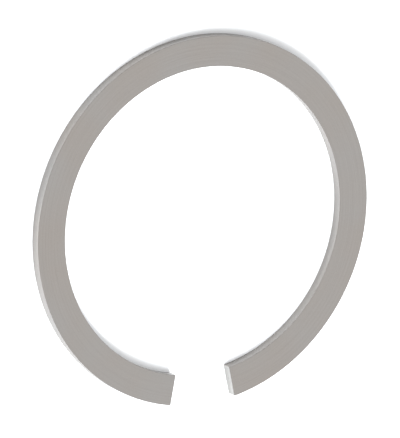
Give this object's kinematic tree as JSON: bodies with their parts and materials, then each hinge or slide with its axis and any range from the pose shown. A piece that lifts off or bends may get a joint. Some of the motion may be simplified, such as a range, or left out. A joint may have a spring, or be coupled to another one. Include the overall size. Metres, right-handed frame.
{
  "type": "retaining ring",
  "caption": "Flat open retaining ring of rectangular spring wire with no lugs, which springs outwards into a groove in a bore and stops a part from sliding out.",
  "frame": {"origin": "on the ring's axis, in the plane of its lower face, which lies on the surface that the ring rests on", "axes": "+Z along the ring's axis, through its thickness; the middle of the gap is on -Y, so +Y is the closed side and X runs from cut end to cut end"},
  "size_m": [0.0486, 0.0481, 0.0015],
  "materials": {
    "spring_steel": "satin"
  },
  "bodies": {
    "root": {"retaining_ring": "spring_steel"}
  },
  "joints": []
}
